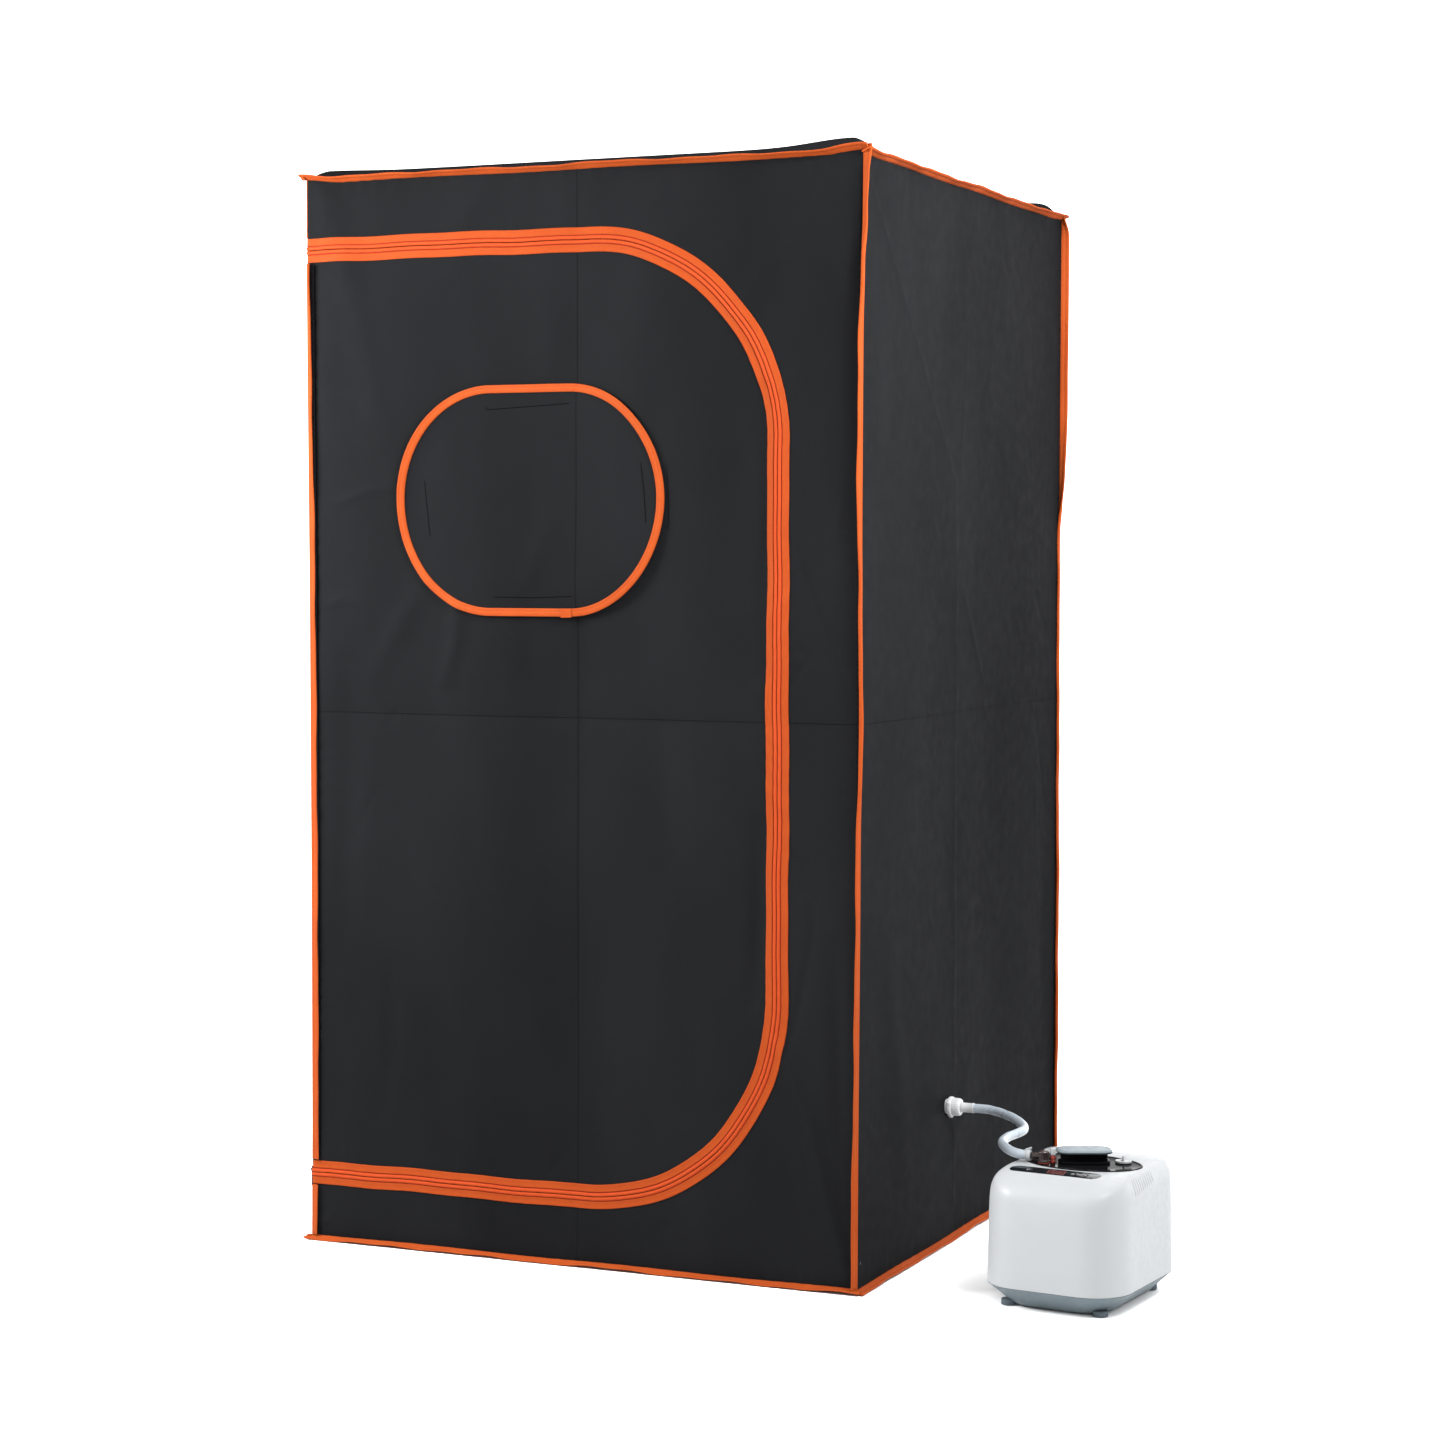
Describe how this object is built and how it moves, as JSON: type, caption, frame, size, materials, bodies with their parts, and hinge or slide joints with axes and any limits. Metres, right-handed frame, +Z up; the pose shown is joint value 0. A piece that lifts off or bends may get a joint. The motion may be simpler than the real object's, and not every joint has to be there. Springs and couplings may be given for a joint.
{
  "type": "portable steam sauna",
  "caption": "Free-standing zipped fabric steam cabin on a tube frame, with a D-shaped door, a window flap and a separate steam generator joined by a hose.",
  "frame": {"origin": "middle of the cabin floor, on the surface it stands on", "axes": "+Z up, the door faces -Y, the steam generator stands on the +X side"},
  "size_m": [1.4619, 1.0693, 1.816],
  "materials": {
    "cover_fabric": "charcoal woven polyester, lined",
    "binding_tape": "orange woven tape",
    "hook_and_loop": "black hook and loop",
    "clear_film": "clear film",
    "zip_metal": "dark coated",
    "frame_tube": "plated steel tube",
    "frame_plastic": "black moulded",
    "white_plastic": "white moulded",
    "black_rubber": "black",
    "silicone_hose": "translucent silicone",
    "housing_white": "white satin moulding",
    "base_grey": "blue-grey moulding",
    "foot_rubber": "grey",
    "steel": "stainless",
    "heater_aluminium": "cast",
    "black_plastic": "black",
    "smoked_gloss": "black gloss",
    "smoked_clear": "smoked clear",
    "red_silicone": "red silicone",
    "grip_grey": "blue-grey",
    "key_plastic": "black gloss",
    "display_red": "red display",
    "circuit_board": "green"
  },
  "bodies": {
    "cabin_and_generator": {"floor_panel": "cover_fabric", "left_wall": "cover_fabric", "right_wall": "cover_fabric", "rear_wall": "cover_fabric", "front_panel": "cover_fabric", "roof_panel": "cover_fabric", "corner_bindings": "binding_tape", "roof_bindings": "binding_tape", "floor_bindings": "binding_tape", "zip_frame_tape": "binding_tape", "zip_slider": "zip_metal", "lower_uprights": "frame_tube", "upper_uprights": "frame_tube", "upright_couplers": "frame_plastic", "roof_rods": "frame_tube", "floor_rods": "frame_tube", "roof_connectors": "frame_plastic", "floor_connectors": "frame_plastic", "port_bushing": "white_plastic", "port_washer": "black_rubber", "hose_barb": "white_plastic", "steam_hose": "silicone_hose", "outlet_clip": "white_plastic", "steamer_shell": "housing_white", "steamer_base": "base_grey", "steamer_feet": "foot_rubber", "base_screws": "steel", "water_tank": "steel", "tank_seal": "black_rubber", "heater_plate": "heater_aluminium", "heater_coil": "steel", "thermal_cutout": "black_plastic", "lid_plate": "smoked_gloss", "steam_elbow": "smoked_clear", "elbow_seal": "red_silicone", "valve_seat": "red_silicone", "control_panel": "smoked_gloss", "display_module": "display_red", "control_board": "circuit_board", "mains_inlet": "black_plastic"},
    "zip_pull": {"zip_pull": "zip_metal"},
    "door": {"door_panel": "cover_fabric", "zip_door_tape": "binding_tape", "window_pane": "clear_film", "door_loop_pads": "hook_and_loop"},
    "window_flap": {"window_flap": "cover_fabric", "flap_binding": "binding_tape", "flap_hook_pads": "hook_and_loop"},
    "port_nut": {"port_nut": "white_plastic"},
    "lid_handle": {"lid_handle": "black_plastic", "handle_grip": "grip_grey", "handle_spindle": "steel", "latch_bar": "steel"},
    "fill_cap": {"fill_cap": "white_plastic"},
    "valve_cap": {"valve_cap": "white_plastic"},
    "power_button": {"power_button": "key_plastic"},
    "timer_button": {"timer_button": "key_plastic"},
    "heat_button": {"heat_button": "key_plastic"}
  },
  "joints": [
    {"name": "door_swing", "type": "hinge", "parent": "cabin_and_generator", "child": "door", "pos_m": [-0.48, -0.5235, 0.897], "axis": [0, 0, -1], "range_deg": [0, 140]},
    {"name": "window_flap_lift", "type": "hinge", "parent": "door", "child": "window_flap", "pos_m": [-0.08, -0.5262, 1.4463], "axis": [-1, 0, 0], "range_deg": [0, 165]},
    {"name": "zip_pull_swing", "type": "hinge", "parent": "cabin_and_generator", "child": "zip_pull", "pos_m": [-0.5088, -0.503, 0.116], "axis": [0, 1, 0], "range_deg": [0, 150]},
    {"name": "port_nut_turn", "type": "hinge", "parent": "cabin_and_generator", "child": "port_nut", "pos_m": [0.513, -0.101, 0.232], "axis": [1, 0, 0], "continuous": true},
    {"name": "lid_handle_turn", "type": "hinge", "parent": "cabin_and_generator", "child": "lid_handle", "pos_m": [0.82585, -0.38026, 0.212], "axis": [0, 0, -1], "range_deg": [0, 30]},
    {"name": "fill_cap_lift", "type": "slide", "parent": "cabin_and_generator", "child": "fill_cap", "axis": [0, 0, 1], "range_m": [0, 0.03]},
    {"name": "valve_cap_lift", "type": "slide", "parent": "cabin_and_generator", "child": "valve_cap", "axis": [0, 0, 1], "range_m": [0, 0.003]},
    {"name": "power_button_press", "type": "slide", "parent": "cabin_and_generator", "child": "power_button", "axis": [0.0169, 0.1555, -0.9877], "range_m": [0, 0.0008], "stiffness_N_per_m": 400},
    {"name": "timer_button_press", "type": "slide", "parent": "cabin_and_generator", "child": "timer_button", "axis": [0.0169, 0.1555, -0.9877], "range_m": [0, 0.0008], "stiffness_N_per_m": 400},
    {"name": "heat_button_press", "type": "slide", "parent": "cabin_and_generator", "child": "heat_button", "axis": [0.0169, 0.1555, -0.9877], "range_m": [0, 0.0008], "stiffness_N_per_m": 400}
  ]
}
